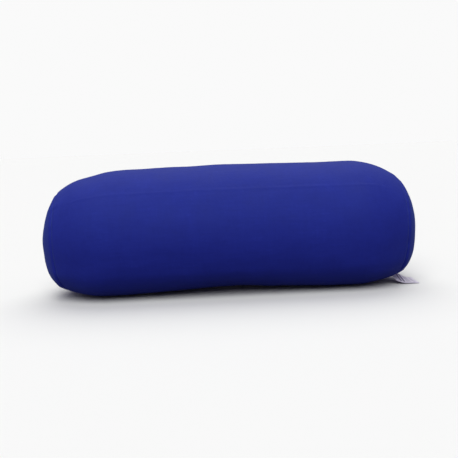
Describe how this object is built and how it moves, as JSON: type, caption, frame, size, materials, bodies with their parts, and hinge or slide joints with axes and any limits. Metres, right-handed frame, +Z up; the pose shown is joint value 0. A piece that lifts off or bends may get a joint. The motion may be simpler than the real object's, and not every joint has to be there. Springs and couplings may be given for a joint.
{
  "type": "neck roll pillow",
  "caption": "Roll-shaped travel neck pillow with round ends: a smooth stretch cover over a sewn liner of fine beads, a zip along its back and a satin care label.",
  "frame": {"origin": "the middle of the flat underside, on the surface that the pillow lies on", "axes": "+X along the roll to the end with the care label, -Y the front, +Y the back with the zip, +Z up"},
  "size_m": [0.3846, 0.1361, 0.127],
  "materials": {
    "cover_cloth": "satin",
    "seam_thread": "matte",
    "liner_cloth": "matte",
    "beads": "matte",
    "zip_tape": "matte",
    "zip_coil": "satin",
    "slider_paint": "gloss",
    "label_satin": "satin"
  },
  "bodies": {
    "roll": {"cover_body": "cover_cloth", "cover_end_left": "cover_cloth", "cover_end_right": "cover_cloth", "end_seam_left": "seam_thread", "end_seam_right": "seam_thread", "back_seam_left": "seam_thread", "back_seam_right": "seam_thread", "liner_body": "liner_cloth", "liner_end_left": "liner_cloth", "liner_end_right": "liner_cloth", "liner_seam_left": "liner_cloth", "liner_seam_right": "liner_cloth", "liner_closing_seam": "liner_cloth", "bead_fill": "beads", "zip_tape_upper": "zip_tape", "zip_tape_lower": "zip_tape", "zip_coil_upper": "zip_coil", "zip_coil_lower": "zip_coil", "zip_top_stop_upper": "zip_coil", "zip_top_stop_lower": "zip_coil", "zip_bottom_stop": "zip_coil", "zip_stitching_upper": "seam_thread", "zip_stitching_lower": "seam_thread"},
    "slider": {"zip_slider": "slider_paint"},
    "pull": {"zip_pull": "slider_paint"},
    "label": {"care_label": "label_satin"}
  },
  "joints": [
    {"name": "zip_slide", "type": "slide", "parent": "roll", "child": "slider", "axis": [-1, 0, 0], "range_m": [0, 0.19]},
    {"name": "pull_hinge", "type": "hinge", "parent": "slider", "child": "pull", "pos_m": [0.0955, 0.0684, 0.061], "axis": [0, 0, -1], "range_deg": [0, 175]},
    {"name": "label_hinge", "type": "hinge", "parent": "roll", "child": "label", "pos_m": [0.1736, -0.0126, 0.014], "axis": [0, -0.9659, 0.2588], "range_deg": [0, 75]}
  ]
}
